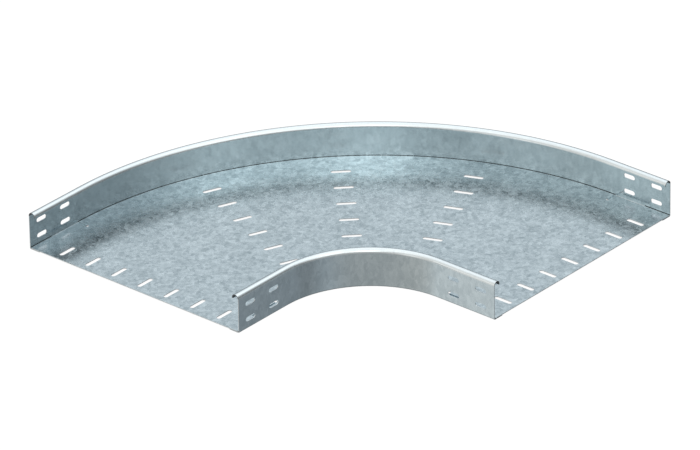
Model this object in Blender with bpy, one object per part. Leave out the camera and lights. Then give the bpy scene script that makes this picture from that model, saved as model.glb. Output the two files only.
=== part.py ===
"""A 90 degree flat bend for perforated cable tray, folded from galvanised steel sheet.

Three pieces: a floor plate that rests on the turned-in bottom flanges of two side rails.
Each rail is one strip, bent flange at the foot, plain web, and a bead rolled inwards along
the top, and it follows the bend from one open end to the other.

Metres, +Z up. End A opens towards -Y and end B towards -X. The origin is at the middle of
the bend's bounding square, on the surface that it stands on.
"""

from math import cos, pi, radians, sin

import bmesh
import bpy
from mathutils import Matrix, Vector

# Overall sizes of the bend
TRAY_WIDTH = 0.400
SIDE_HEIGHT = 0.060
INNER_RADIUS = 0.150
BEND_ANGLE = radians(90)
END_LENGTH = 0.105

# Sheet and the folds of the side rails
RAIL_SHEET = 0.00125
FLOOR_SHEET = 0.00125
FOLD_RADIUS = 0.0010
FLANGE_WIDTH = 0.018
BEAD_RADIUS = 0.006
BEAD_TURN = radians(216)
SEAT_GAP = 0.0003

# Slots in the floor plate
SLOT_PITCH = 0.050
FLOOR_SLOT_LENGTH = 0.030
FLOOR_SLOT_WIDTH = 0.007
END_SLOT_INSET = 0.025
RADIAL_ROWS = 3

# Bolt slots in the straight ends of the side rails
BOLT_SLOT_LENGTH = 0.020
BOLT_SLOT_WIDTH = 0.007
BOLT_SLOT_INSET = 0.025
BOLT_SLOT_SPACING = 0.050
BOLT_SLOT_LOWER_ROW = 0.015
BOLT_SLOT_ROW_SPACING = 0.025

# Corner notches of the floor plate, through which the flanges show
NOTCH_LENGTH = 0.055
NOTCH_SETBACK = 0.003
NOTCH_LAP = 0.0005
RELIEF_RADIUS = 0.003

# Fineness of the round shapes
BEND_STEPS = 36
FOLD_STEPS = 4
BEAD_STEPS = 12
SLOT_END_STEPS = 7
RELIEF_STEPS = 16

OUTER_RADIUS = INNER_RADIUS + TRAY_WIDTH
MIDDLE_RADIUS = INNER_RADIUS + TRAY_WIDTH / 2
FLOOR_UNDERSIDE = RAIL_SHEET + SEAT_GAP
FLOOR_EDGE_INSET = RAIL_SHEET + FOLD_RADIUS + SEAT_GAP
CUTTER_OVERRUN = 0.005
SHARP_ANGLE = radians(30)
UP = Vector((0, 0, 1))


def clear_scene():
    for old in list(bpy.data.objects):
        bpy.data.objects.remove(old, do_unlink=True)


def galvanised_steel(name, color, roughness):
    material = bpy.data.materials.new(name)
    material.use_nodes = True
    shader = material.node_tree.nodes["Principled BSDF"]
    shader.inputs["Base Color"].default_value = (*color, 1)
    shader.inputs["Metallic"].default_value = 1
    shader.inputs["Roughness"].default_value = roughness
    return material


def object_from(mesh_edit, name, location):
    """Turn a finished bmesh into an object, with every face pointing out."""
    bmesh.ops.recalc_face_normals(mesh_edit, faces=mesh_edit.faces)
    mesh = bpy.data.meshes.new(name)
    mesh_edit.to_mesh(mesh)
    mesh_edit.free()
    made = bpy.data.objects.new(name, mesh)
    made.location = location
    bpy.context.scene.collection.objects.link(made)
    return made


def arc(center, radius, start, turn, steps):
    """Points of an arc in the plane of a rail's cross-section."""
    angles = [start + turn * step / steps for step in range(steps + 1)]
    return [(center[0] + radius * cos(a), center[1] + radius * sin(a)) for a in angles]


def rail_section():
    """Closed outline of the folded strip, as (distance in from the outer face, height)."""
    fold_center = (RAIL_SHEET + FOLD_RADIUS, RAIL_SHEET + FOLD_RADIUS)
    bead_center = (BEAD_RADIUS, SIDE_HEIGHT - BEAD_RADIUS)
    outside = [(FLANGE_WIDTH, 0)]
    outside += arc(fold_center, FOLD_RADIUS + RAIL_SHEET, -pi / 2, -pi / 2, FOLD_STEPS)
    outside += arc(bead_center, BEAD_RADIUS, pi, -BEAD_TURN, BEAD_STEPS)
    inside = [(FLANGE_WIDTH, RAIL_SHEET)]
    inside += arc(fold_center, FOLD_RADIUS, -pi / 2, -pi / 2, FOLD_STEPS)
    inside += arc(bead_center, BEAD_RADIUS - RAIL_SHEET, pi, -BEAD_TURN, BEAD_STEPS)
    return outside + inside[::-1]


def sweep_round_bend(mesh_edit, edges):
    """Draw edges at end A along the first arm, round the bend and along the second arm.

    The bend's centre is the mesh's own origin. Returns the edges where the sweep ends.
    """
    along_second_arm = Matrix.Rotation(BEND_ANGLE, 3, "Z") @ Vector((0, END_LENGTH, 0))
    made = bmesh.ops.extrude_edge_only(mesh_edit, edges=edges)["geom"]
    corners = [part for part in made if isinstance(part, bmesh.types.BMVert)]
    bmesh.ops.translate(mesh_edit, vec=(0, END_LENGTH, 0), verts=corners)
    front = [part for part in made if isinstance(part, bmesh.types.BMEdge)]
    turned = bmesh.ops.spin(
        mesh_edit,
        geom=corners + front,
        cent=(0, 0, 0),
        axis=UP,
        angle=BEND_ANGLE,
        steps=BEND_STEPS,
    )["geom_last"]
    front = [part for part in turned if isinstance(part, bmesh.types.BMEdge)]
    made = bmesh.ops.extrude_edge_only(mesh_edit, edges=front)["geom"]
    corners = [part for part in made if isinstance(part, bmesh.types.BMVert)]
    bmesh.ops.translate(mesh_edit, vec=along_second_arm, verts=corners)
    return [part for part in made if isinstance(part, bmesh.types.BMEdge)]


def side_rail(name, face_radius, inwards, location):
    """A rail whose outer face lies at face_radius; inwards is +1 or -1 along the radius."""
    mesh_edit = bmesh.new()
    ring = [
        mesh_edit.verts.new((face_radius + inwards * depth, -END_LENGTH, height))
        for depth, height in rail_section()
    ]
    first = [mesh_edit.edges.new((a, b)) for a, b in zip(ring, ring[1:] + ring[:1])]
    last = sweep_round_bend(mesh_edit, first)
    for edges in (first, last):
        bmesh.ops.contextual_create(mesh_edit, geom=edges)
    return object_from(mesh_edit, name, location)


def floor_blank(name, location):
    """The floor plate before any slot or notch is punched."""
    mesh_edit = bmesh.new()
    inner = INNER_RADIUS + FLOOR_EDGE_INSET
    outer = OUTER_RADIUS - FLOOR_EDGE_INSET
    corners = [
        mesh_edit.verts.new((radius, -END_LENGTH, FLOOR_UNDERSIDE)) for radius in (inner, outer)
    ]
    sweep_round_bend(mesh_edit, [mesh_edit.edges.new(corners)])
    made = bmesh.ops.extrude_face_region(mesh_edit, geom=mesh_edit.faces[:])["geom"]
    top = [part for part in made if isinstance(part, bmesh.types.BMVert)]
    bmesh.ops.translate(mesh_edit, vec=(0, 0, FLOOR_SHEET), verts=top)
    return object_from(mesh_edit, name, location)


def add_slot_punch(mesh_edit, length, width, depth, placing):
    """Add one round-ended punch, centred on placing, its length along X and depth along Z."""
    straight = (length - width) / 2
    outline = []
    for side, start in ((1, -pi / 2), (-1, pi / 2)):
        for step in range(SLOT_END_STEPS + 1):
            angle = start + pi * step / SLOT_END_STEPS
            x = side * straight + width / 2 * cos(angle)
            outline.append(Vector((x, width / 2 * sin(angle), -depth / 2)))
    face = mesh_edit.faces.new([mesh_edit.verts.new(placing @ point) for point in outline])
    made = bmesh.ops.extrude_face_region(mesh_edit, geom=[face])["geom"]
    far = [part for part in made if isinstance(part, bmesh.types.BMVert)]
    through = placing.to_3x3() @ Vector((0, 0, depth))
    bmesh.ops.translate(mesh_edit, vec=through, verts=far)


def add_round_punch(mesh_edit, radius, depth, placing):
    bmesh.ops.create_cone(
        mesh_edit,
        cap_ends=True,
        segments=RELIEF_STEPS,
        radius1=radius,
        radius2=radius,
        depth=depth,
        matrix=placing,
    )


def add_block_punch(mesh_edit, low, high, turned):
    size = high - low
    placing = turned @ Matrix.Translation((low + high) / 2) @ Matrix.Diagonal((*size, 1))
    bmesh.ops.create_cube(mesh_edit, size=1, matrix=placing)


def punch(piece, mesh_edit, name):
    """Cut everything in mesh_edit out of the piece, and hide the punch itself."""
    cutter = object_from(mesh_edit, name, piece.location)
    cutter.hide_render = True
    cutter.display_type = "WIRE"
    cut = piece.modifiers.new(name, "BOOLEAN")
    cut.operation = "DIFFERENCE"
    cut.solver = "EXACT"
    cut.object = cutter


def arm_frames():
    """For each open end, the turn that brings a point of arm A, measured from end A, there.

    In the arm's own terms x is the radius, y runs from the open end towards the bend, and
    the mirrored second arm keeps the same x.
    """
    second = Matrix.Rotation(BEND_ANGLE, 4, "Z") @ Matrix.Diagonal((1, -1, 1, 1))
    from_end = Matrix.Translation((0, -END_LENGTH, 0))
    return [from_end, second @ from_end]


def slot_radii():
    """Radii of the floor slots, evenly pitched and centred across the tray."""
    count = int(TRAY_WIDTH / SLOT_PITCH + 1e-6) - 1
    first = MIDDLE_RADIUS - SLOT_PITCH * (count - 1) / 2
    return [first + SLOT_PITCH * number for number in range(count)]


def punch_floor_slots(floor):
    mesh_edit = bmesh.new()
    depth = FLOOR_SHEET + 2 * CUTTER_OVERRUN
    height = FLOOR_UNDERSIDE + FLOOR_SHEET / 2
    along_arm = Matrix.Rotation(pi / 2, 4, "Z")
    for radius in slot_radii():
        for arm in arm_frames():
            placing = arm @ Matrix.Translation((radius, END_SLOT_INSET, height)) @ along_arm
            add_slot_punch(mesh_edit, FLOOR_SLOT_LENGTH, FLOOR_SLOT_WIDTH, depth, placing)
        for row in range(1, RADIAL_ROWS + 1):
            turned = Matrix.Rotation(BEND_ANGLE * row / (RADIAL_ROWS + 1), 4, "Z")
            placing = turned @ Matrix.Translation((radius, 0, height)) @ along_arm
            add_slot_punch(mesh_edit, FLOOR_SLOT_LENGTH, FLOOR_SLOT_WIDTH, depth, placing)
    punch(floor, mesh_edit, "floor_slot_punch")


def punch_corner_notches(floor):
    """Open the floor over each straight flange, with a round relief in the inner corner."""
    blocks = bmesh.new()
    reliefs = bmesh.new()
    notch_depth = FLANGE_WIDTH - NOTCH_LAP
    far = END_LENGTH - NOTCH_SETBACK
    bottom = FLOOR_UNDERSIDE - SEAT_GAP / 2
    top = FLOOR_UNDERSIDE + FLOOR_SHEET + CUTTER_OVERRUN
    for arm in arm_frames():
        for face_radius, inwards in ((INNER_RADIUS, 1), (OUTER_RADIUS, -1)):
            edge = face_radius + inwards * notch_depth
            sides = sorted((face_radius, edge))
            low = Vector((sides[0], far - NOTCH_LENGTH, bottom))
            high = Vector((sides[1], far, top))
            add_block_punch(blocks, low, high, arm)
            inset = RELIEF_RADIUS / 2
            relief = (edge + inwards * inset, far - inset, (bottom + top) / 2)
            placing = arm @ Matrix.Translation(relief)
            add_round_punch(reliefs, RELIEF_RADIUS, top - bottom, placing)
    punch(floor, blocks, "corner_notch_punch")
    punch(floor, reliefs, "corner_relief_punch")


def punch_bolt_slots(rail, face_radius, inwards):
    """Two rows of two bolt slots through the web at each straight end."""
    mesh_edit = bmesh.new()
    depth = RAIL_SHEET + 2 * CUTTER_OVERRUN
    middle = face_radius + inwards * RAIL_SHEET / 2
    facing = Matrix(((0, 0, 1, 0), (1, 0, 0, 0), (0, 1, 0, 0), (0, 0, 0, 1)))
    for arm in arm_frames():
        for column in range(2):
            for row in range(2):
                inset = BOLT_SLOT_INSET + column * BOLT_SLOT_SPACING
                height = BOLT_SLOT_LOWER_ROW + row * BOLT_SLOT_ROW_SPACING
                placing = arm @ Matrix.Translation((middle, inset, height)) @ facing
                add_slot_punch(mesh_edit, BOLT_SLOT_LENGTH, BOLT_SLOT_WIDTH, depth, placing)
    punch(rail, mesh_edit, rail.name + "_slot_punch")


def shade_smooth(piece):
    piece.data.shade_smooth()
    piece.data.set_sharp_from_angle(angle=SHARP_ANGLE)


def main():
    clear_scene()
    bend_center = Vector((END_LENGTH - OUTER_RADIUS, END_LENGTH - OUTER_RADIUS, 0)) / 2
    rail_steel = galvanised_steel("rail_steel", (0.52, 0.57, 0.60), 0.34)
    floor_steel = galvanised_steel("floor_steel", (0.58, 0.64, 0.67), 0.30)

    floor = floor_blank("floor_plate", bend_center)
    punch_floor_slots(floor)
    punch_corner_notches(floor)
    floor.data.materials.append(floor_steel)
    shade_smooth(floor)

    rails = (("outer_side_rail", OUTER_RADIUS, -1), ("inner_side_rail", INNER_RADIUS, 1))
    for name, face_radius, inwards in rails:
        rail = side_rail(name, face_radius, inwards, bend_center)
        punch_bolt_slots(rail, face_radius, inwards)
        rail.data.materials.append(rail_steel)
        shade_smooth(rail)


main()
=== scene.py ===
"""Looks of a 90 degree flat bend for perforated cable tray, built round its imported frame.

Three folded pieces of zinc-coated sheet stand for the plain solids, with the same forms and
finer folds: a slotted floor plate, and two side rails with a bead rolled along the top.

Metres, +Z up. End A opens towards -Y and end B towards -X.
"""

from math import cos, hypot, pi, radians, sin

import bmesh
import bpy
from bpy.props import FloatProperty, FloatVectorProperty, IntProperty, PointerProperty
from bpy.types import Operator, Panel, PropertyGroup
from mathutils import Matrix, Vector


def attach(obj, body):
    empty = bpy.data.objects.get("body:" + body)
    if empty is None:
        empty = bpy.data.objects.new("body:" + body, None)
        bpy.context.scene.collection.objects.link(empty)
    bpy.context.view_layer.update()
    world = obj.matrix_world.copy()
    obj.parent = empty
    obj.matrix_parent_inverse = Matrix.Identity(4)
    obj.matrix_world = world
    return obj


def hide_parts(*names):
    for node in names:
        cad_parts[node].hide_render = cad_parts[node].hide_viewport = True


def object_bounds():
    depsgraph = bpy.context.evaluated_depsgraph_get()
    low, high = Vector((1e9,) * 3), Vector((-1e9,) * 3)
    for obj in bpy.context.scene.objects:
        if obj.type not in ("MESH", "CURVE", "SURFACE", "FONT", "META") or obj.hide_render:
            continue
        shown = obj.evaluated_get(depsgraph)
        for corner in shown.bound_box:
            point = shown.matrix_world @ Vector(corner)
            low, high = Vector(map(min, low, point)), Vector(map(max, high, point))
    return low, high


bl_info = {
    "name": "Cable tray bend",
    "version": (1, 0, 0),
    "blender": (4, 5, 0),
    "location": "3D View > Sidebar > Tray bend",
    "description": "Builds the looks of a perforated cable tray bend round its CAD frame",
    "category": "Add Mesh",
}

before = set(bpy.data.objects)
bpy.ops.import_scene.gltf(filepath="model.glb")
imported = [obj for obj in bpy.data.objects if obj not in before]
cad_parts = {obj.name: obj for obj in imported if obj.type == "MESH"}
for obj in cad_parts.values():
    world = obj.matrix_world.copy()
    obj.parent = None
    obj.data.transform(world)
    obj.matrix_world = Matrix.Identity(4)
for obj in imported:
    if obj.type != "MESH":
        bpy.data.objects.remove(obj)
CAD_LOW, CAD_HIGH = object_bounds()

UP = Vector((0, 0, 1))
TRAY_WIDTH = 0.400
INNER_RADIUS = 0.150

# Names of the marks that faces carry to the zinc's material.
CUT_MARK = "cut_edge"
# Painted shade: faces inside a rolled bead and the floor plate's rim beside the rails carry this
# mark, which colours them dark for the shade there.
PAINTED_SHADE_MARK = "painted_crevice_shade"
# Painted highlight: the bead's upper outer skin carries this mark, which colours it paler for the
# highlight on it.
BEAD_HIGHLIGHT_MARK = "painted_bead_highlight"

# Creases past the first angle stay sharp, and those past the second are sheared edges.
SHARP_ANGLE = radians(35)
SHEARED_ANGLE = radians(50)

CUTTER_OVERRUN = 0.005
MERGE_REACH = 1e-6
SLIVER_REACH = 1e-5
ROUNDING_STEPS = 2
PAPER_SIDES = 64

# A relief hole's center lies beyond its notch's long edge, and short of the notch's end, by
# this share of its radius.
RELIEF_SHIFT = 0.7

# Noises of the zinc, in cycles a metre, from the clouds across a sheet to the finest frost.
CLOUD_SCALE = 16.0
SWIRL_SCALE = 50.0
WANDER_SCALE = 150.0
FEATHER_SCALE = 240.0
FROST_SCALE = 700.0

# How far the wander pushes a crystal's edges, in crystal sizes.
WANDER_REACH = 1.6

# What each pattern adds to the tone, and the sums at which the tone is dark and pale.
CRYSTAL_TONE = 0.4
FEATHER_TONE = 0.7
SWIRL_TONE = 0.5
CLOUD_TONE = 0.3
TONE_RANGE = (0.60, 1.30)

# The mix of crystal and feather that sets the gloss, and where it is brightest and dullest.
GLOSS_MIX = 0.5
GLOSS_RANGE = (0.2, 0.8)

# Roughness that a sheared edge and the inside of a curl have beyond the zinc's.
CUT_ROUGHNESS = 0.2
CURL_ROUGHNESS = 0.3
GRAIN_STRENGTH = 0.5

# The rails' pattern is drawn out along their height.
RAIL_STRETCH = (1.0, 1.0, 0.6)

# Azimuth from the camera's heading and elevation in degrees, focus, strength, warmth. The
# focus is the power that narrows a light, and warmth goes onto red and comes off blue.
SOFT_LIGHTS = (
    (0, 90, 2, 0.93, 0.01),
    (0, 0, 2, 0.05, -0.2),
    (0, 36, 20, 0.345, -0.06),
    (0, 58, 16, 0.29, 0.04),
    (45, 36, 20, 0.38, -0.015),
    (45, 58, 16, 0.14, -0.08),
    (90, -22, 20, 0.325, -0.065),
    (90, 0, 2, 0.465, 0.09),
    (95, 13, 40, 0.56, 0.03),
    (135, 8, 40, 0.54, 0.03),
    (135, 58, 16, 0.345, 0.04),
    (180, 0, 2, 0.335, 0.045),
    (180, 36, 30, 1.32, 0.055),
    (225, -22, 20, 0.13, -0.16),
    (225, 36, 20, 0.85, 0.055),
    (225, 58, 16, 0.14, -0.08),
    (270, -22, 20, 0.18, -0.095),
    (270, 58, 16, 0.52, -0.02),
    (315, 36, 20, 0.88, -0.02),
)


class TraySizes(PropertyGroup):
    """Sizes of the folded sheet; the overall ones come from the frame."""

    tray_width: FloatProperty(
        name="Tray width",
        description="Distance between the outer faces of the two side rails",
        default=TRAY_WIDTH,
        unit="LENGTH",
    )
    side_height: FloatProperty(
        name="Side height",
        description="Height of the side rails over the surface they stand on",
        default=CAD_HIGH.z,
        unit="LENGTH",
    )
    inner_radius: FloatProperty(
        name="Inner radius",
        description="Radius of the inner side rail's outside face",
        default=INNER_RADIUS,
        unit="LENGTH",
    )
    end_length: FloatProperty(
        name="End length",
        description="Length of the straight part at each open end",
        default=CAD_HIGH.x - CAD_LOW.x - INNER_RADIUS - TRAY_WIDTH,
        unit="LENGTH",
    )
    sheet: FloatProperty(
        name="Sheet",
        description="Thickness of the sheet metal",
        default=0.00125,
        unit="LENGTH",
    )
    fold_radius: FloatProperty(
        name="Fold radius",
        description="Inside radius of the fold at a rail's foot",
        default=0.0010,
        unit="LENGTH",
    )
    flange_width: FloatProperty(
        name="Flange width",
        description="Width of the rail's foot, from its outside face",
        default=0.018,
        unit="LENGTH",
    )
    bead_radius: FloatProperty(
        name="Bead radius",
        description="Outside radius of the bead rolled along the top of a rail",
        default=0.006,
        unit="LENGTH",
    )
    lip_length: FloatProperty(
        name="Lip length",
        description="Length of the straight lip that hangs from the bead",
        default=0.0015,
        unit="LENGTH",
    )
    seat_gap: FloatProperty(
        name="Seat gap",
        description="Clearance between the floor plate's edge and the fold at a rail's foot",
        default=0.0005,
        unit="LENGTH",
    )
    weld_gap: FloatProperty(
        name="Weld gap",
        description="Clearance between the floor plate and the feet that it lies on",
        default=0.0001,
        unit="LENGTH",
    )
    edge_rounding: FloatProperty(
        name="Edge rounding",
        description="Width of the rounding left on sheared and punched edges",
        default=0.00016,
        unit="LENGTH",
    )
    bend_steps: IntProperty(
        name="Bend steps",
        description="Number of faces along the quarter turn",
        default=90,
    )
    bead_steps: IntProperty(
        name="Bead steps",
        description="Number of faces round the rolled bead",
        default=30,
    )
    fold_steps: IntProperty(
        name="Fold steps",
        description="Number of faces round the fold at a rail's foot",
        default=8,
    )


class SlotSizes(PropertyGroup):
    """Sizes and places of the punched slots and notches."""

    slot_pitch: FloatProperty(
        name="Slot pitch",
        description="Distance between floor slots across the tray",
        default=0.050,
        unit="LENGTH",
    )
    floor_slot_length: FloatProperty(
        name="Floor slot length",
        description="Length of a slot in the floor plate",
        default=0.030,
        unit="LENGTH",
    )
    slot_width: FloatProperty(
        name="Slot width",
        description="Width of every slot",
        default=0.007,
        unit="LENGTH",
    )
    end_inset: FloatProperty(
        name="End inset",
        description="Distance of the first slots from an open end",
        default=0.025,
        unit="LENGTH",
    )
    radial_rows: IntProperty(
        name="Radial rows",
        description="Rows of floor slots round the curve",
        default=3,
    )
    bolt_slot_length: FloatProperty(
        name="Bolt slot length",
        description="Length of a slot in a side rail",
        default=0.020,
        unit="LENGTH",
    )
    bolt_slot_spacing: FloatProperty(
        name="Bolt slot spacing",
        description="Distance between the two slots of a row in a rail",
        default=0.050,
        unit="LENGTH",
    )
    bolt_slot_lower_row: FloatProperty(
        name="Lower row",
        description="Height of the lower row of bolt slots",
        default=0.015,
        unit="LENGTH",
    )
    bolt_slot_row_spacing: FloatProperty(
        name="Row spacing",
        description="Height between the two rows of bolt slots",
        default=0.025,
        unit="LENGTH",
    )
    notch_length: FloatProperty(
        name="Notch length",
        description="Length of each corner notch of the floor plate",
        default=0.055,
        unit="LENGTH",
    )
    notch_setback: FloatProperty(
        name="Notch setback",
        description="Distance of a notch from the start of the curve",
        default=0.003,
        unit="LENGTH",
    )
    notch_lap: FloatProperty(
        name="Notch lap",
        description="Width of flange that the floor plate still covers at a notch",
        default=0.0005,
        unit="LENGTH",
    )
    relief_radius: FloatProperty(
        name="Relief radius",
        description="Radius of the round hole in a notch's inner corner",
        default=0.003,
        unit="LENGTH",
    )
    slot_end_steps: IntProperty(
        name="Slot end steps",
        description="Number of faces round each end of a slot",
        default=12,
    )


class ZincFinish(PropertyGroup):
    """Colours and gloss of the zinc-coated sheet."""

    pale: FloatVectorProperty(
        name="Pale spangle",
        description="Colour of the brightest zinc crystals",
        default=(0.73, 0.845, 0.895),
        subtype="COLOR",
    )
    dark: FloatVectorProperty(
        name="Dark spangle",
        description="Colour of the dullest zinc crystals",
        default=(0.37, 0.455, 0.495),
        subtype="COLOR",
    )
    cut: FloatVectorProperty(
        name="Cut edge",
        description="Colour of the bare steel on sheared and punched edges",
        default=(0.64, 0.70, 0.73),
        subtype="COLOR",
    )
    # Painted highlight: the bead colour, mixed in by the share that follows, makes the bead's
    # upper outer skin paler to stand in for the highlight on it.
    bead: FloatVectorProperty(
        name="Rolled bead",
        description="Colour of the zinc that the rolls have burnished on a bead",
        default=(0.78, 0.85, 0.88),
        subtype="COLOR",
    )
    bead_highlight_share: FloatProperty(
        name="Bead shine",
        description="How much of the spangle the rolls have burnished away on a bead",
        default=0.75,
        subtype="FACTOR",
    )
    # Painted shade: this dark colour stands in for the shade inside a rolled bead and in the gap
    # between the floor plate and the rails.
    curl: FloatVectorProperty(
        name="Inside of curl",
        description="Colour of the dull zinc inside a rolled bead",
        default=(0.16, 0.165, 0.17),
        subtype="COLOR",
    )
    gloss_low: FloatProperty(
        name="Roughness, bright crystals",
        description="Roughness of the smoothest crystals",
        default=0.14,
        subtype="FACTOR",
    )
    gloss_high: FloatProperty(
        name="Roughness, dull crystals",
        description="Roughness of the dullest crystals",
        default=0.27,
        subtype="FACTOR",
    )
    crystal_size: FloatProperty(
        name="Crystal size",
        description="Typical width of a zinc crystal",
        default=0.006,
        unit="LENGTH",
    )
    crystal_tilt: FloatProperty(
        name="Crystal tilt",
        description="How far the crystals lean out of the sheet's plane",
        default=0.015,
        subtype="FACTOR",
    )
    frost_tilt: FloatProperty(
        name="Frost tilt",
        description="How far the fine frost on the crystals leans out of the sheet's plane",
        default=0.045,
        subtype="FACTOR",
    )
    floor_dullness: FloatProperty(
        name="Floor dullness",
        description="Roughness that the floor plate has beyond that of the rails",
        default=0.06,
        subtype="FACTOR",
    )
    rail_contrast: FloatProperty(
        name="Rail contrast",
        description="Share of the range between pale and dull that the rails show",
        default=0.45,
        subtype="FACTOR",
    )
    rail_lean: FloatProperty(
        name="Rail lean",
        description="How far the crystals of the rails lean upwards",
        default=0.07,
        subtype="FACTOR",
    )
    grain_height: FloatProperty(
        name="Grain height",
        description="Height of the fine grain of the zinc",
        default=0.000015,
        unit="LENGTH",
        precision=5,
    )


class StageSetting(PropertyGroup):
    """The camera and the studio."""

    azimuth: FloatProperty(
        name="Azimuth",
        description="Direction the camera looks in, counted from +X",
        default=radians(40.937),
        subtype="ANGLE",
    )
    elevation: FloatProperty(
        name="Elevation",
        description="How far the camera looks down",
        default=radians(28.119),
        subtype="ANGLE",
    )
    roll: FloatProperty(
        name="Roll",
        description="Turn of the camera about its own line of sight",
        default=radians(-0.989),
        subtype="ANGLE",
    )
    distance: FloatProperty(
        name="Distance",
        description="Distance from the camera to the point it looks at",
        default=10.78667,
        unit="LENGTH",
    )
    target: FloatVectorProperty(
        name="Target",
        description="The point that the camera looks at",
        default=(0.016413, 0.015950, 0.0),
        subtype="TRANSLATION",
    )
    lens: FloatProperty(
        name="Lens",
        description="Focal length in millimetres on a 36 mm sensor",
        default=384.05,
        unit="CAMERA",
    )
    ambient: FloatProperty(
        name="Ambient",
        description="Light that comes from everywhere",
        default=0.17,
    )
    paper_radius: FloatProperty(
        name="Paper radius",
        description="Radius of the paper floor",
        default=6.0,
        unit="LENGTH",
    )
    paper_drop: FloatProperty(
        name="Paper drop",
        description="Clearance of the paper under the object",
        default=0.0002,
        unit="LENGTH",
    )
    paper_white: FloatProperty(
        name="Paper white",
        description="Whiteness of the paper where no light reaches it",
        default=0.93,
    )
    paper_matt: FloatProperty(
        name="Paper matt",
        description="How much of the light that reaches the paper it gives back",
        default=0.12,
        subtype="FACTOR",
    )


def sizes():
    return bpy.context.scene.tray_sizes


def slots():
    return bpy.context.scene.slot_sizes


def finish():
    return bpy.context.scene.zinc_finish


def stage_setting():
    return bpy.context.scene.stage_setting


def only(kind, parts):
    """The parts of one kind, such as the vertices, in what an operator returns."""
    return [part for part in parts if isinstance(part, kind)]


def outer_radius():
    return sizes().inner_radius + sizes().tray_width


def floor_underside():
    """Height of the floor plate's underside over the rails' undersides."""
    return sizes().sheet + sizes().weld_gap


def draw_on(bm, vert, offset):
    """Draw an edge from a vertex and return its new end."""
    made = bmesh.ops.extrude_vert_indiv(bm, verts=[vert])["verts"]
    bmesh.ops.translate(bm, vec=offset, verts=made)
    return made[0]


def roll_on(bm, vert, center, axis, turn, steps):
    """Roll an arc from a vertex about a center and return its new end."""
    made = bmesh.ops.spin(bm, geom=[vert], cent=center, axis=axis, angle=turn, steps=steps)
    return only(bmesh.types.BMVert, made["geom_last"])[0]


def sweep_round_bend(bm):
    """Draw the edges at end A along the first arm, round the bend and along the second arm."""
    quarter = pi / 2
    length = sizes().end_length
    along_second_arm = Matrix.Rotation(quarter, 3, "Z") @ Vector((0, length, 0))
    made = bmesh.ops.extrude_edge_only(bm, edges=bm.edges[:])["geom"]
    verts = only(bmesh.types.BMVert, made)
    bmesh.ops.translate(bm, vec=(0, length, 0), verts=verts)
    turned = bmesh.ops.spin(
        bm,
        geom=verts + only(bmesh.types.BMEdge, made),
        cent=(0, 0, 0),
        axis=UP,
        angle=quarter,
        steps=sizes().bend_steps,
    )["geom_last"]
    made = bmesh.ops.extrude_edge_only(bm, edges=only(bmesh.types.BMEdge, turned))["geom"]
    verts = only(bmesh.types.BMVert, made)
    bmesh.ops.translate(bm, vec=along_second_arm, verts=verts)


def turn_towards(bm, direction):
    """Turn an open sheet so that its largest flat looks that way."""
    bmesh.ops.recalc_face_normals(bm, faces=bm.faces)
    flat = max(bm.faces, key=lambda face: abs(face.normal.dot(direction)) * face.calc_area())
    if flat.normal.dot(direction) < 0:
        bmesh.ops.reverse_faces(bm, faces=bm.faces)


def mark_faces(bm, name, belongs):
    """Add a named mark to every face: 1 where belongs(face) holds, and 0 elsewhere."""
    layer = bm.faces.layers.float.new(name)
    for face in bm.faces:
        face[layer] = 1.0 if belongs(face) else 0.0


def thicken(bm, thickness):
    """Give a sheet its thickness behind its face, and mark its sheared rim."""
    drawn = set(bm.verts)
    bmesh.ops.solidify(bm, geom=bm.faces[:], thickness=thickness)
    mark_faces(
        bm, CUT_MARK, lambda face: 0 < len(drawn & set(face.verts)) < len(face.verts)
    )


def rail_blank(face_radius, inwards):
    """The folded strip of a rail with no slots; inwards is +1 or -1 along the radius."""
    size = sizes()
    bm = bmesh.new()
    along = Vector((0, 1, 0))
    fold = size.fold_radius + size.sheet
    bead = size.bead_radius
    bead_height = size.side_height - bead
    vert = bm.verts.new((face_radius + inwards * size.flange_width, -size.end_length, 0))
    vert = draw_on(bm, vert, (inwards * (fold - size.flange_width), 0, 0))
    center = (face_radius + inwards * fold, -size.end_length, fold)
    vert = roll_on(bm, vert, center, along, inwards * pi / 2, size.fold_steps)
    vert = draw_on(bm, vert, (0, 0, bead_height - fold))
    center = (face_radius + inwards * bead, -size.end_length, bead_height)
    vert = roll_on(bm, vert, center, along, inwards * pi, size.bead_steps)
    draw_on(bm, vert, (0, 0, -size.lip_length))
    sweep_round_bend(bm)
    turn_towards(bm, Vector((-inwards, 0, 0)))
    thicken(bm, size.sheet)

    def is_inner_skin(place):
        radius = hypot(max(place.x, 0), max(place.y, 0))
        height = max(place.z - bead_height, 0)
        away = hypot(radius - face_radius - inwards * bead, height)
        return away < bead - size.sheet / 2

    def is_in_curl(face):
        place = face.calc_center_median()
        return place.z > bead_height - size.lip_length and is_inner_skin(place)

    def is_on_bead(face):
        place = face.calc_center_median()
        return place.z > bead_height and not is_inner_skin(place)

    # Painted shade: the faces inside the curl get a dark colour for the shade in it.
    mark_faces(bm, PAINTED_SHADE_MARK, is_in_curl)
    # Painted highlight: the bead's upper outer skin gets a paler colour for the highlight on it.
    mark_faces(bm, BEAD_HIGHLIGHT_MARK, is_on_bead)
    return bm


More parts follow.
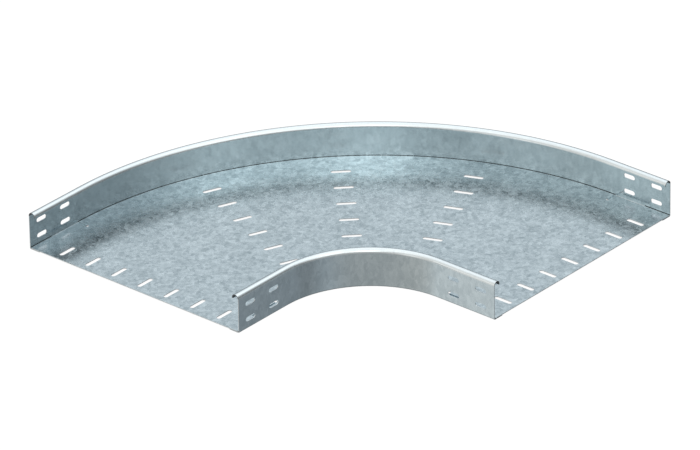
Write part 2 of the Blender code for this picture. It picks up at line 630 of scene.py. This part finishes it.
def floor_blank():
    """The floor plate with no slots or notches."""
    size = sizes()
    bm = bmesh.new()
    inset = size.sheet + size.fold_radius + size.seat_gap
    height = floor_underside() + size.sheet
    start = bm.verts.new((size.inner_radius + inset, -size.end_length, height))
    draw_on(bm, start, (size.tray_width - 2 * inset, 0, 0))
    sweep_round_bend(bm)
    turn_towards(bm, UP)
    thicken(bm, size.sheet)
    sheared = bm.faces.layers.float[CUT_MARK]

    def is_beside_rail(face):
        """The sheared rim along the rails, without the rim at the two open ends."""
        place = face.calc_center_median()
        return face[sheared] > 0 and min(place.x, place.y) > -size.end_length / 2 - MERGE_REACH

    # Painted shade: the rim beside the rails is coloured dark for the shade in the gap between
    # the plate and the rails.
    mark_faces(bm, PAINTED_SHADE_MARK, is_beside_rail)
    return bm


def object_from(bm, name):
    """Turn a bmesh drawn about the bend's center into an object in its place."""
    inset = (sizes().end_length - outer_radius()) / 2
    bmesh.ops.translate(bm, vec=(inset, inset, 0), verts=bm.verts)
    mesh = bpy.data.meshes.new(name)
    bm.to_mesh(mesh)
    bm.free()
    made = bpy.data.objects.new(name, mesh)
    bpy.context.scene.collection.objects.link(made)
    return made


def slot_punch(length, depth):
    """A round-ended punch with its length along X and its depth along Z, as a mesh."""
    size = slots()
    bm = bmesh.new()
    radius = size.slot_width / 2
    straight = length - size.slot_width
    center = Vector((straight / 2, 0, -depth / 2))
    vert = bm.verts.new((-straight / 2, -radius, -depth / 2))
    vert = draw_on(bm, vert, (straight, 0, 0))
    vert = roll_on(bm, vert, center, UP, pi, size.slot_end_steps)
    vert = draw_on(bm, vert, (-straight, 0, 0))
    center.x = -center.x
    roll_on(bm, vert, center, UP, pi, size.slot_end_steps)
    bmesh.ops.remove_doubles(bm, verts=bm.verts, dist=MERGE_REACH)
    face = bmesh.ops.contextual_create(bm, geom=bm.edges[:])["faces"]
    return deepened(bm, face, depth)


def round_punch(radius, depth):
    """A round punch with its depth along Z, as a mesh."""
    bm = bmesh.new()
    bmesh.ops.create_circle(bm, cap_ends=True, segments=2 * slots().slot_end_steps, radius=radius)
    bmesh.ops.translate(bm, vec=(0, 0, -depth / 2), verts=bm.verts)
    return deepened(bm, bm.faces[:], depth)


def block_punch(size):
    """A block about the origin, as a mesh."""
    bm = bmesh.new()
    bmesh.ops.create_cube(bm, size=1, matrix=Matrix.Diagonal((*size, 1)))
    return mesh_of(bm)


def deepened(bm, face, depth):
    """Give a flat punch its depth along Z and return it as a mesh."""
    made = bmesh.ops.extrude_face_region(bm, geom=face)["geom"]
    bmesh.ops.translate(bm, vec=(0, 0, depth), verts=only(bmesh.types.BMVert, made))
    return mesh_of(bm)


def mesh_of(bm):
    mesh = bpy.data.meshes.new("punch")
    bm.to_mesh(mesh)
    bm.free()
    return mesh


def cut(piece, punch, placings, name):
    """Cut copies of one punch out of a piece, and mark the faces that they leave."""
    bm = bmesh.new()
    for placing in placings:
        start = len(bm.verts)
        bm.from_mesh(punch)
        bmesh.ops.transform(bm, matrix=placing, verts=bm.verts[start:])
    bpy.data.meshes.remove(punch)
    bmesh.ops.recalc_face_normals(bm, faces=bm.faces)
    mark_faces(bm, CUT_MARK, lambda face: True)
    cutter = object_from(bm, name)
    modifier = piece.modifiers.new(name, "BOOLEAN")
    modifier.operation = "DIFFERENCE"
    modifier.solver = "EXACT"
    modifier.object = cutter


def arm_frames():
    """For each open end, the placing of an arm's own terms in the mesh.

    There x is the radius and y runs from the open end towards the bend; the mirrored second
    arm keeps the same x.
    """
    second = Matrix.Rotation(pi / 2, 4, "Z") @ Matrix.Diagonal((1, -1, 1, 1))
    from_end = Matrix.Translation((0, -sizes().end_length, 0))
    return [from_end, second @ from_end]


def cut_floor_slots(floor):
    """Rows of slots across the tray: one at each open end and the rest round the curve."""
    size = slots()
    count = round(sizes().tray_width / size.slot_pitch) - 1
    middle = sizes().inner_radius + sizes().tray_width / 2
    height = floor_underside() + sizes().sheet / 2
    along_arm = Matrix.Rotation(pi / 2, 4, "Z")
    placings = []
    for number in range(count):
        radius = middle + size.slot_pitch * (number - (count - 1) / 2)
        at_end = Matrix.Translation((radius, size.end_inset, height)) @ along_arm
        on_curve = Matrix.Translation((radius, 0, height)) @ along_arm
        placings += [arm @ at_end for arm in arm_frames()]
        for row in range(1, size.radial_rows + 1):
            turn = Matrix.Rotation(pi / 2 * row / (size.radial_rows + 1), 4, "Z")
            placings.append(turn @ on_curve)
    depth = sizes().sheet + 2 * CUTTER_OVERRUN
    cut(floor, slot_punch(size.floor_slot_length, depth), placings, "floor_slots")


def cut_corner_notches(floor):
    """Open the floor over each straight flange, with a round relief in the inner corner."""
    size = slots()
    depth = sizes().flange_width - size.notch_lap
    far = sizes().end_length - size.notch_setback
    bottom = floor_underside() - sizes().weld_gap / 2
    height = sizes().sheet + CUTTER_OVERRUN
    blocks = []
    reliefs = []
    inset = size.relief_radius * RELIEF_SHIFT
    for arm in arm_frames():
        for face_radius, inwards in ((sizes().inner_radius, 1), (outer_radius(), -1)):
            middle = (
                face_radius + inwards * depth / 2,
                far - size.notch_length / 2,
                bottom + height / 2,
            )
            corner = (
                face_radius + inwards * (depth + inset),
                far - inset,
                bottom + height / 2,
            )
            blocks.append(arm @ Matrix.Translation(middle))
            reliefs.append(arm @ Matrix.Translation(corner))
    cut(floor, block_punch((depth, size.notch_length, height)), blocks, "corner_notches")
    cut(floor, round_punch(size.relief_radius, height), reliefs, "corner_reliefs")


def cut_bolt_slots(rail, face_radius, inwards):
    """Two rows of two bolt slots through the web at each straight end."""
    size = slots()
    depth = sizes().sheet + 2 * CUTTER_OVERRUN
    middle = face_radius + inwards * sizes().sheet / 2
    # Lays a punch's length along the arm and its depth through the web.
    facing = Matrix(((0, 0, 1, 0), (1, 0, 0, 0), (0, 1, 0, 0), (0, 0, 0, 1)))
    placings = []
    for arm in arm_frames():
        for column in range(2):
            for row in range(2):
                along = size.end_inset + column * size.bolt_slot_spacing
                height = size.bolt_slot_lower_row + row * size.bolt_slot_row_spacing
                place = Matrix.Translation((middle, along, height))
                placings.append(arm @ place @ facing)
    cut(rail, slot_punch(size.bolt_slot_length, depth), placings, rail.name + "_slots")


def apply_cuts(piece):
    """Make the cuts real, drop the cutters and round the sheared edges."""
    graph = bpy.context.evaluated_depsgraph_get()
    bm = bmesh.new()
    bm.from_mesh(piece.evaluated_get(graph).to_mesh())
    for modifier in piece.modifiers[:]:
        bpy.data.objects.remove(modifier.object)
        piece.modifiers.remove(modifier)
    bmesh.ops.remove_doubles(bm, verts=bm.verts, dist=MERGE_REACH)
    bmesh.ops.dissolve_degenerate(bm, dist=SLIVER_REACH, edges=bm.edges)
    sheared = [
        edge
        for edge in bm.edges
        if len(edge.link_faces) == 2 and edge.calc_face_angle() > SHEARED_ANGLE
    ]
    bmesh.ops.bevel(
        bm,
        geom=sheared,
        offset=sizes().edge_rounding,
        affect="EDGES",
        segments=ROUNDING_STEPS,
        profile=0.5,
        material=-1,
    )
    bm.to_mesh(piece.data)
    bm.free()
    piece.data.shade_smooth()
    piece.data.set_sharp_from_angle(angle=SHARP_ANGLE)
    weighted = piece.modifiers.new("even_shading", "WEIGHTED_NORMAL")
    weighted.keep_sharp = True
    weighted.weight = 100


class NodeDesk:
    """Shorthand for laying out shader nodes."""

    def __init__(self, tree):
        self.tree = tree
        tree.nodes.clear()

    def add(self, kind, settings=None, **inputs):
        made = self.tree.nodes.new(kind)
        for name, value in (settings or {}).items():
            setattr(made, name, value)
        for name, value in inputs.items():
            self.feed(made.inputs[name.replace("_", " ")], value)
        return made

    def feed(self, socket, value):
        if isinstance(value, bpy.types.NodeSocket):
            self.tree.links.new(value, socket)
        else:
            socket.default_value = value

    def math(self, operation, *values):
        made = self.tree.nodes.new("ShaderNodeMath")
        made.operation = operation
        for socket, value in zip(made.inputs, values):
            self.feed(socket, value)
        return made.outputs[0]

    def vector(self, operation, *values):
        made = self.tree.nodes.new("ShaderNodeVectorMath")
        made.operation = operation
        for socket, value in zip(made.inputs, values):
            self.feed(socket, value)
        return made.outputs["Value" if operation == "DOT_PRODUCT" else "Vector"]

    def mix(self, factor, low, high):
        made = self.tree.nodes.new("ShaderNodeMix")
        made.data_type = "RGBA"
        self.feed(made.inputs["Factor"], factor)
        self.feed(made.inputs["A"], low)
        self.feed(made.inputs["B"], high)
        return made.outputs["Result"]

    def noise(self, place, scale, detail, **more):
        made = self.add("ShaderNodeTexNoise", Vector=place, Scale=scale, Detail=detail, **more)
        return made.outputs

    def spread(self, value, reach, low, high):
        """Map the values within reach onto those from low to high."""
        return self.add(
            "ShaderNodeMapRange",
            Value=value,
            From_Min=reach[0],
            From_Max=reach[1],
            To_Min=low,
            To_Max=high,
        ).outputs["Result"]

    def mark(self, name):
        """The value of a mark that the faces carry."""
        settings = {"attribute_name": name, "attribute_type": "GEOMETRY"}
        return self.add("ShaderNodeAttribute", settings).outputs["Fac"]


def zinc_steel(name, pattern_scale=(1.0, 1.0, 1.0), contrast=1.0, lean=0.0, dullness=0.0):
    """Zinc-coated sheet: pale and dull crystals, each tilted its own way, and bare cut edges.

    pattern_scale stretches the pattern along X, Y and Z, contrast is the share of the full
    range between pale and dull, lean tips the surface upwards, and dullness adds roughness.
    """
    look = finish()
    material = bpy.data.materials.new(name)
    material.use_nodes = True
    desk = NodeDesk(material.node_tree)
    place = desk.add("ShaderNodeTexCoord").outputs["Object"]
    place = desk.add("ShaderNodeMapping", Vector=place, Scale=pattern_scale).outputs["Vector"]
    middle = (0.5, 0.5, 0.5)

    wander = desk.vector("SUBTRACT", desk.noise(place, WANDER_SCALE, 3.0)["Color"], middle)
    shift = (look.crystal_size * WANDER_REACH,) * 3
    warped = desk.vector("ADD", place, desk.vector("MULTIPLY", wander, shift))
    crystals = desk.add(
        "ShaderNodeTexVoronoi", Vector=warped, Scale=1 / look.crystal_size
    ).outputs["Color"]
    channels = desk.add("ShaderNodeSeparateColor", Color=crystals).outputs
    feather = desk.noise(warped, FEATHER_SCALE, 3.0, Roughness=0.6)["Fac"]
    swirl = desk.noise(place, SWIRL_SCALE, 1.5, Distortion=2.0)["Fac"]
    cloud = desk.noise(place, CLOUD_SCALE, 4.0)["Fac"]

    tone = desk.math("MULTIPLY", channels["Red"], CRYSTAL_TONE)
    tone = desk.math("MULTIPLY_ADD", feather, FEATHER_TONE, tone)
    tone = desk.math("MULTIPLY_ADD", swirl, SWIRL_TONE, tone)
    tone = desk.math("MULTIPLY_ADD", cloud, CLOUD_TONE, tone)
    tone = desk.spread(tone, TONE_RANGE, 0.5 - contrast / 2, 0.5 + contrast / 2)
    cut_edge = desk.mark(CUT_MARK)
    # Painted shade inside the curl and in the gap at the floor plate's rim.
    crevice_shade = desk.mark(PAINTED_SHADE_MARK)
    # Painted highlight on the bead's upper outer skin.
    bead_highlight = desk.math("MULTIPLY", desk.mark(BEAD_HIGHLIGHT_MARK), look.bead_highlight_share)
    color = desk.mix(tone, (*look.dark, 1), (*look.pale, 1))
    color = desk.mix(bead_highlight, color, (*look.bead, 1))
    color = desk.mix(cut_edge, color, (*look.cut, 1))
    color = desk.mix(crevice_shade, color, (*look.curl, 1))

    blur = desk.math("MULTIPLY", feather, 1 - GLOSS_MIX)
    blur = desk.math("MULTIPLY_ADD", channels["Green"], GLOSS_MIX, blur)
    brightest = look.gloss_low + dullness
    dullest = look.gloss_high + dullness
    roughness = desk.spread(blur, GLOSS_RANGE, brightest, dullest)
    roughness = desk.math("MULTIPLY_ADD", cut_edge, CUT_ROUGHNESS, roughness)
    roughness = desk.math("MULTIPLY_ADD", crevice_shade, CURL_ROUGHNESS, roughness)

    tilt = desk.vector("SUBTRACT", crystals, middle)
    tilt = desk.vector("MULTIPLY_ADD", tilt, (look.crystal_tilt,) * 3, (0.0, 0.0, lean))
    frost = desk.vector("SUBTRACT", desk.noise(place, FROST_SCALE, 2.0)["Color"], middle)
    tilt = desk.vector("MULTIPLY_ADD", frost, (look.frost_tilt,) * 3, tilt)
    facing = desk.add("ShaderNodeNewGeometry").outputs["Normal"]
    facing = desk.vector("NORMALIZE", desk.vector("ADD", facing, tilt))
    grain = desk.add(
        "ShaderNodeBump",
        Strength=GRAIN_STRENGTH,
        Distance=look.grain_height,
        Height=feather,
        Normal=facing,
    ).outputs["Normal"]
    shader = desk.add(
        "ShaderNodeBsdfPrincipled",
        Base_Color=color,
        Metallic=1.0,
        Roughness=roughness,
        Normal=grain,
    )
    desk.add("ShaderNodeOutputMaterial", Surface=shader.outputs["BSDF"])
    return material


def settle(piece, material, node):
    """Give a finished piece its material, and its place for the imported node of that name."""
    piece.data.materials.clear()
    piece.data.materials.append(material)
    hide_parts(node)
    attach(piece, "root")


def unit_vector(azimuth, elevation):
    """The direction at an azimuth and an elevation, both in radians."""
    flat = Vector((cos(azimuth), sin(azimuth), 0)) * cos(elevation)
    return flat + UP * sin(elevation)


def light_studio(world):
    """Soft lights all round for the zinc, and an even white for the eye."""
    look = stage_setting()
    world.use_nodes = True
    desk = NodeDesk(world.node_tree)
    ray = desk.add("ShaderNodeTexCoord").outputs["Generated"]
    light = (look.ambient,) * 3
    for azimuth, elevation, focus, strength, warmth in SOFT_LIGHTS:
        towards = unit_vector(look.azimuth + radians(azimuth), radians(elevation))
        share = desk.math("MAXIMUM", desk.vector("DOT_PRODUCT", ray, towards), 0.0)
        share = desk.math("POWER", share, focus)
        color = Vector((1 + warmth, 1, 1 - warmth)) * strength
        light = desk.vector("MULTIPLY_ADD", share, color, light)
    lit = desk.add("ShaderNodeBackground", Color=light, Strength=1.0).outputs[0]
    seen = desk.add("ShaderNodeBackground", Color=(1, 1, 1, 1), Strength=1.0).outputs[0]
    path = desk.add("ShaderNodeLightPath").outputs
    direct = desk.math("MAXIMUM", path["Is Camera Ray"], path["Is Transmission Ray"])
    chosen = desk.tree.nodes.new("ShaderNodeMixShader")
    for socket, value in zip(chosen.inputs, (direct, lit, seen)):
        desk.feed(socket, value)
    desk.add("ShaderNodeOutputWorld", Surface=chosen.outputs[0])


def floor_paper():
    """Pale studio paper: white to the eye, with the object's shadow on it."""
    look = stage_setting()
    material = bpy.data.materials.new("studio_paper")
    material.use_nodes = True
    desk = NodeDesk(material.node_tree)
    path = desk.add("ShaderNodeLightPath").outputs
    direct = desk.math("MAXIMUM", path["Is Camera Ray"], path["Is Transmission Ray"])
    glow = desk.math("MULTIPLY", direct, look.paper_white)
    glow = desk.add("ShaderNodeEmission", Color=(1, 1, 1, 1), Strength=glow).outputs[0]
    matt = desk.add("ShaderNodeBsdfDiffuse", Color=(look.paper_matt,) * 3 + (1,)).outputs[0]
    both = desk.tree.nodes.new("ShaderNodeAddShader")
    for socket, value in zip(both.inputs, (glow, matt)):
        desk.feed(socket, value)
    desk.add("ShaderNodeOutputMaterial", Surface=both.outputs[0])
    return material


class TRAY_OT_floor_plate(Operator):
    """Build the slotted floor plate of the bend"""

    bl_idname = "tray_bend.floor_plate"
    bl_label = "Floor plate"
    bl_options = {"REGISTER", "UNDO"}

    def execute(self, context):
        floor = object_from(floor_blank(), "zinc_floor_plate")
        cut_floor_slots(floor)
        cut_corner_notches(floor)
        apply_cuts(floor)
        material = zinc_steel("zinc_floor_sheet", dullness=finish().floor_dullness)
        settle(floor, material, "floor_plate")
        return {"FINISHED"}


class TRAY_OT_side_rails(Operator):
    """Build the two folded side rails with their rolled beads and bolt slots"""

    bl_idname = "tray_bend.side_rails"
    bl_label = "Side rails"
    bl_options = {"REGISTER", "UNDO"}

    def execute(self, context):
        material = zinc_steel(
            "zinc_rail_strip",
            pattern_scale=RAIL_STRETCH,
            contrast=finish().rail_contrast,
            lean=finish().rail_lean,
        )
        rails = (
            ("outer_side_rail", outer_radius(), -1),
            ("inner_side_rail", sizes().inner_radius, 1),
        )
        for node, face_radius, inwards in rails:
            rail = object_from(rail_blank(face_radius, inwards), "zinc_" + node)
            cut_bolt_slots(rail, face_radius, inwards)
            apply_cuts(rail)
            settle(rail, material, node)
        return {"FINISHED"}


class TRAY_OT_stage(Operator):
    """Set up the paper floor, the soft light and the camera"""

    bl_idname = "tray_bend.stage"
    bl_label = "Stage"
    bl_options = {"REGISTER", "UNDO"}

    def execute(self, context):
        look = stage_setting()
        bm = bmesh.new()
        bmesh.ops.create_circle(bm, cap_ends=True, segments=PAPER_SIDES, radius=look.paper_radius)
        mesh = bpy.data.meshes.new("paper_floor")
        bm.to_mesh(mesh)
        bm.free()
        paper = bpy.data.objects.new("paper_floor", mesh)
        paper.location.z = -look.paper_drop
        mesh.materials.append(floor_paper())
        context.scene.collection.objects.link(paper)
        # The zinc mirrors the world's darker lower half, as it does a studio's room.
        paper.visible_glossy = False
        paper.visible_diffuse = False

        if context.scene.world is None:
            context.scene.world = bpy.data.worlds.new("studio")
        light_studio(context.scene.world)

        lens = bpy.data.cameras.new("photo_camera")
        lens.lens = look.lens
        lens.clip_end = 3 * look.distance
        camera = bpy.data.objects.new("photo_camera", lens)
        turn = (
            Matrix.Rotation(look.azimuth - pi / 2, 4, "Z")
            @ Matrix.Rotation(pi / 2 - look.elevation, 4, "X")
            @ Matrix.Rotation(look.roll, 4, "Z")
        )
        back = turn.to_3x3() @ UP
        place = Vector(look.target) + back * look.distance
        camera.matrix_world = Matrix.Translation(place) @ turn
        context.scene.collection.objects.link(camera)
        context.scene.camera = camera
        context.scene.view_settings.view_transform = "Standard"
        return {"FINISHED"}


class TRAY_PT_panel(Panel):
    """Lists the sizes, the finish and the building steps"""

    bl_idname = "TRAY_PT_panel"
    bl_label = "Cable tray bend"
    bl_space_type = "VIEW_3D"
    bl_region_type = "UI"
    bl_category = "Tray bend"

    def draw(self, context):
        scene = context.scene
        for group in (scene.tray_sizes, scene.slot_sizes, scene.zinc_finish, scene.stage_setting):
            box = self.layout.box()
            for name in group.bl_rna.properties.keys():
                if name not in ("rna_type", "name"):
                    box.prop(group, name)
        for step in STEPS:
            self.layout.operator(step.bl_idname)


GROUPS = (
    ("tray_sizes", TraySizes),
    ("slot_sizes", SlotSizes),
    ("zinc_finish", ZincFinish),
    ("stage_setting", StageSetting),
)
STEPS = (TRAY_OT_floor_plate, TRAY_OT_side_rails, TRAY_OT_stage)


def register():
    for name, group in GROUPS:
        bpy.utils.register_class(group)
        setattr(bpy.types.Scene, name, PointerProperty(type=group))
    for step in STEPS:
        bpy.utils.register_class(step)
    bpy.utils.register_class(TRAY_PT_panel)


def unregister():
    bpy.utils.unregister_class(TRAY_PT_panel)
    for step in reversed(STEPS):
        bpy.utils.unregister_class(step)
    for name, group in reversed(GROUPS):
        delattr(bpy.types.Scene, name)
        bpy.utils.unregister_class(group)


def main():
    register()
    bpy.ops.tray_bend.floor_plate()
    bpy.ops.tray_bend.side_rails()
    bpy.ops.tray_bend.stage()


if __name__ == "__main__":
    main()
